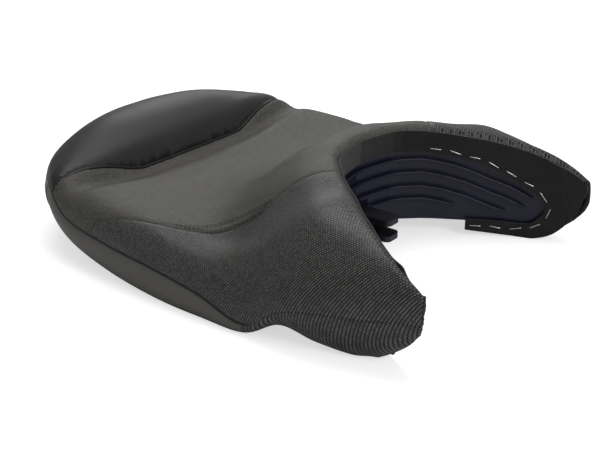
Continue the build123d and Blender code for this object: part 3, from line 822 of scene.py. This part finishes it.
class SEAT_OT_stage(bpy.types.Operator):
    """Floor, lamps, background and camera."""

    bl_idname = "seat.stage"
    bl_label = "Stage"

    def floor(self, scene):
        """Square floor, matt, with a glow that only the camera sees."""
        corners = [(-1, -1), (1, -1), (1, 1), (-1, 1)]
        mesh = bpy.data.meshes.new("floor")
        mesh.from_pydata([(x * FLOOR_HALF, y * FLOOR_HALF, 0) for x, y in corners], [], [(0, 1, 2, 3)])
        stage = bpy.data.objects.new("floor", mesh)
        scene.collection.objects.link(stage)
        material = bpy.data.materials.new("floor")
        material.use_nodes = True
        nodes, link = material.node_tree.nodes, material.node_tree.links.new
        shader = nodes["Principled BSDF"]
        shader.inputs["Base Color"].default_value = (FLOOR_GREY, FLOOR_GREY, FLOOR_GREY, 1)
        shader.inputs["Roughness"].default_value = 1.0
        shader.inputs["Specular IOR Level"].default_value = 0.0
        paths, seen = nodes.new("ShaderNodeLightPath"), nodes.new("ShaderNodeMath")
        seen.operation = "MULTIPLY"
        seen.inputs[1].default_value = FLOOR_GLOW
        link(paths.outputs["Is Camera Ray"], seen.inputs[0])
        link(seen.outputs[0], shader.inputs["Emission Strength"])
        shader.inputs["Emission Color"].default_value = (1, 1, 1, 1)
        mesh.materials.append(material)

    def sky(self, scene):
        """White world: full strength to the camera, a soft fill on the seat."""
        world = bpy.data.worlds.new("studio")
        scene.world = world
        world.use_nodes = True
        nodes, link = world.node_tree.nodes, world.node_tree.links.new
        paths, seen = nodes.new("ShaderNodeLightPath"), nodes.new("ShaderNodeMapRange")
        seen.inputs["To Min"].default_value = SKY_ON_SEAT
        seen.inputs["To Max"].default_value = SKY_SEEN
        link(paths.outputs["Is Camera Ray"], seen.inputs["Value"])
        link(seen.outputs["Result"], nodes["Background"].inputs["Strength"])
        nodes["Background"].inputs["Color"].default_value = (1, 1, 1, 1)

    def execute(self, context):
        scene = context.scene
        self.floor(scene)
        self.sky(scene)
        for name, place, size, power, target in LAMPS:
            lamp = bpy.data.lights.new(name, "AREA")
            lamp.shape = "RECTANGLE"
            lamp.size, lamp.size_y = size
            lamp.energy = power
            holder = bpy.data.objects.new(name, lamp)
            aim(holder, place, target)
            scene.collection.objects.link(holder)
        lens = bpy.data.cameras.new("camera")
        lens.lens, lens.sensor_width = CAMERA_LENS, CAMERA_SENSOR
        camera = bpy.data.objects.new("camera", lens)
        turn, tilt = np.radians(CAMERA_AZIMUTH), np.radians(CAMERA_ELEVATION)
        ahead = np.array([-np.sin(turn) * np.cos(tilt), np.cos(turn) * np.cos(tilt), -np.sin(tilt)])
        aim(camera, CAMERA_PLACE, CAMERA_PLACE + ahead)
        scene.collection.objects.link(camera)
        scene.camera = camera
        scene.view_settings.view_transform = "Standard"
        return {"FINISHED"}


class SEAT_OT_cover(bpy.types.Operator):
    """Sewn cover: rear, centre and front panels on top and the two side panels under them."""

    bl_idname = "seat.cover"
    bl_label = "Cover"

    def execute(self, context):
        colours = context.scene.seat_colours
        grid = cover_grid()
        rear, inside = grid["rear"] < 0, grid["front"] < 0
        rear_look = finish("rear_vinyl", tuple(colours.rear), rough=0.46, bump=0.16, scale=700)
        centre_look = finish(
            "centre_vinyl", tuple(colours.centre), rough=0.55, bump=0.35, weave=(2.2, 1.2, 0.36),
            deep=(0.022, 0.021, 0.019), turn=0.5,
        )
        front_look = finish(
            "front_vinyl", tuple(colours.front), rough=0.36, bump=0.9, weave=(2.9, 1.9, 0.55),
            deep=(0.006, 0.006, 0.006), turn=0.9,
        )
        side_look = finish("side_vinyl", tuple(colours.side), rough=0.45, bump=0.2, scale=500)

        points, faces = panel(grid, rear & inside)
        make_piece(
            "rear_cover", points, faces, rear_look, ["rear_panel"],
            uv=cloth_uv(points, 0), thickness=VINYL,
        )
        points, faces = panel(grid, ~rear & inside)
        make_piece(
            "centre_cover", points, faces, centre_look, ["centre_panel", "foam_core"],
            uv=cloth_uv(points, 0), thickness=VINYL,
        )
        for word, sign in (("right", -1), ("left", 1)):
            top = panel(grid, ~inside & (grid["side"] * sign > 0))
            points, faces = joined([top, skirt_grid(SIDE_END, LAST, FRONT_ROWS, sign)])
            make_piece(
                f"{word}_front_cover", points, faces, front_look, [f"{word}_front_panel"],
                uv=cloth_uv(points, 0.35), thickness=VINYL,
            )
            points, faces = skirt_grid(0.01, SIDE_END, SIDE_ROWS, sign)
            make_piece(
                f"{word}_side_cover", points, faces, side_look, [f"{word}_side_panel"],
                uv=cloth_uv(points, 0), thickness=VINYL,
            )
        return {"FINISHED"}


class SEAT_OT_piping(bpy.types.Operator):
    """Welt cord across the seat and along both sides."""

    bl_idname = "seat.piping"
    bl_label = "Piping"

    def execute(self, context):
        radius = context.scene.seat_sizes.piping / MM
        look = finish("piping_vinyl", (0.012, 0.012, 0.012), rough=0.35, bump=0.12, scale=800)
        seam = smooth_path(cover_grid()["rear_seam"], 4) + np.array([0.3, 0, 0.9])
        points, faces = tube(resample(seam, WELT_STEP), radius)
        make_piece("rear_welt", points, faces, look, ["rear_piping"])
        for word, sign in (("right", -1), ("left", 1)):
            path = station_curve(WIDEST, np.linspace(0.0, WELT_END, 300) * sign)
            outward = (path - np.array([-40, 0, 0])) * np.array([1, 1, 0])
            outward /= np.linalg.norm(outward, axis=1)[:, None]
            points, faces = tube(resample(path + outward * WELT_OUT, WELT_STEP), radius)
            make_piece(f"{word}_welt", points, faces, look, [f"{word}_side_piping"])
        return {"FINISHED"}


class SEAT_OT_stitches(bpy.types.Operator):
    """Twin rows of thread beside the front seams and under the side welts."""

    bl_idname = "seat.stitches"
    bl_label = "Stitches"

    def execute(self, context):
        stitch = context.scene.seat_sizes.stitch / MM
        pitch = stitch + STITCH_GAP
        look = finish("thread", (0.035, 0.035, 0.035), rough=0.45, bump=0.3, scale=3000)
        seams = cover_grid()["front_seam"]
        pieces = []
        for sign in (-1, 1):
            seam = seams[seams[:, 1] * sign > 0]
            seam = resample(smooth_path(seam[np.argsort(seam[:, 0])], 14), 3.0)
            seam = seam[seam[:, 0] > TWIN_ROWS_START]
            normals = surface_normals(seam, np.zeros_like(seam) + np.array([0.35, sign * 0.7, -0.62]))
            for offset in TWIN_ROWS:
                pieces += stitch_line(seam + normals * 0.5, normals, pitch, stitch, offset)
            for drop in SIDE_STITCH_DROPS:
                s = np.linspace(*SIDE_STITCH_SPAN, 240) * sign
                path, lower = (skirt_points(s, np.full(s.shape, v)) for v in (drop, drop + 0.05))
                normals = np.cross(np.gradient(path, axis=0), lower - path)
                normals *= np.sign(normals[:, 1] * sign)[:, None]
                normals /= np.linalg.norm(normals, axis=1)[:, None]
                pieces += stitch_line(path + normals * 0.1, normals, pitch, stitch, 0.0)
        points, faces = joined(pieces)
        make_piece("topstitching", points, faces, look)
        return {"FINISHED"}


class SEAT_OT_lining(bpy.types.Operator):
    """Felt on the wall of the notch, its gathered hem at the horn tips, and the staples that hold it."""

    bl_idname = "seat.lining"
    bl_label = "Lining and staples"

    def execute(self, context):
        felt = finish("felt", (0.010, 0.010, 0.010), rough=0.95, bump=0.9, scale=1600, sheen=0.25)
        steel = finish("staple_wire", (0.75, 0.75, 0.74), rough=0.28, bump=0.05, metal=1.0)
        sheet = lining_points()
        make_piece(
            "felt_lining", sheet.reshape(-1, 3), grid_faces(*sheet.shape[:2]), felt, ["front_lining"],
            thickness=FELT,
        )
        hems = [tube(hem_path(sign), HEM_RADIUS, sides=16, gather=HEM_GATHER) for sign in (-1, 1)]
        points, faces = joined(hems)
        make_piece("gathered_hem", points, faces, felt)
        points, faces = joined(staple_wires())
        make_piece("lining_staples", points, faces, steel, ["staples"])
        return {"FINISHED"}


class SEAT_OT_pan(bpy.types.Operator):
    """Moulded pan: wall of the notch with its fins, the floor, the bosses and the ribs under it."""

    bl_idname = "seat.pan"
    bl_label = "Pan"

    def execute(self, context):
        colour = tuple(context.scene.seat_colours.pan)
        look = finish("pan_plastic", colour, rough=0.34, bump=0.1, scale=1200)
        x = np.concatenate([82 + 20 * np.linspace(0, 1, 30) ** 2, np.linspace(103, 232, 60)])
        parts = []
        for sign in (-1, 1):
            parts += pan_wall(x, sign) + pan_fins(x, sign)
        points, faces = joined(parts + pan_floor() + pan_bosses() + pan_ribs() + pan_pads())
        make_piece("moulded_pan", points, faces, look, ["seat_pan"])
        return {"FINISHED"}


class SEAT_OT_tag(bpy.types.Operator):
    """Bare tape tab under the side welt on the rider's right."""

    bl_idname = "seat.tag"
    bl_label = "Tape tab"

    def execute(self, context):
        look = finish("tape", (0.30, 0.31, 0.31), rough=0.85, bump=0.6, scale=2600)
        rows, columns = TAB_GRID
        s, v = np.meshgrid(-np.linspace(*TAB_STATIONS, rows), np.linspace(*TAB_DROP, columns), indexing="ij")
        points = skirt_points(s, v)
        points[..., 1] -= TAB_OUT + TAB_BULGE * np.sin(v * np.pi)
        points[..., 0] -= TAB_BACK
        make_piece(
            "tape_tab", points.reshape(-1, 3), grid_faces(rows, columns, True), look, ["side_tag"],
            thickness=TAPE,
        )
        return {"FINISHED"}


class SEAT_OT_hardware(bpy.types.Operator):
    """Finishes of the claw, the striker, the screws and the buffers."""

    bl_idname = "seat.hardware"
    bl_label = "Hardware finishes"

    def execute(self, context):
        black = finish("black_coat", (0.014, 0.014, 0.020), rough=0.35, bump=0.15, scale=900)
        steel = finish("zinc", (0.62, 0.62, 0.60), rough=0.3, bump=0.08, scale=400, metal=1.0)
        rubber = finish("buffer_rubber", (0.016, 0.016, 0.016), rough=0.75, bump=0.4, scale=1500)
        looks = {
            "front_claw": black, "claw_screws": steel, "striker_plate": steel, "latch_striker": steel,
            "striker_screws": steel, **{f"{word}_buffer": rubber for word in BUFFERS},
        }
        for node, look in looks.items():
            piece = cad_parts[node]
            for slot in piece.material_slots:
                slot.material = look
            if not piece.material_slots:
                piece.data.materials.append(look)
        return {"FINISHED"}


OPERATORS = (
    SEAT_OT_stage, SEAT_OT_cover, SEAT_OT_piping, SEAT_OT_stitches, SEAT_OT_lining, SEAT_OT_pan,
    SEAT_OT_tag, SEAT_OT_hardware,
)


class SEAT_PT_panel(bpy.types.Panel):
    """Sizes, colours and the steps in order."""

    bl_idname = "SEAT_PT_panel"
    bl_label = "Motorcycle seat"
    bl_space_type = "VIEW_3D"
    bl_region_type = "UI"
    bl_category = "Seat"

    def draw(self, context):
        for settings in (context.scene.seat_sizes, context.scene.seat_colours):
            for name in settings.__annotations__:
                self.layout.prop(settings, name)
        for operator in OPERATORS:
            self.layout.operator(operator.bl_idname)


CLASSES = (SeatSizes, SeatColours, *OPERATORS, SEAT_PT_panel)


def register():
    """Adds the classes and the settings."""
    for item in CLASSES:
        bpy.utils.register_class(item)
    bpy.types.Scene.seat_sizes = bpy.props.PointerProperty(type=SeatSizes)
    bpy.types.Scene.seat_colours = bpy.props.PointerProperty(type=SeatColours)


def unregister():
    """Takes the settings and the classes away."""
    del bpy.types.Scene.seat_colours
    del bpy.types.Scene.seat_sizes
    for item in reversed(CLASSES):
        bpy.utils.unregister_class(item)


def main():
    """Makes every piece in order."""
    register()
    for operator in OPERATORS:
        family, name = operator.bl_idname.split(".")
        getattr(getattr(bpy.ops, family), name)()


if __name__ == "__main__":
    main()
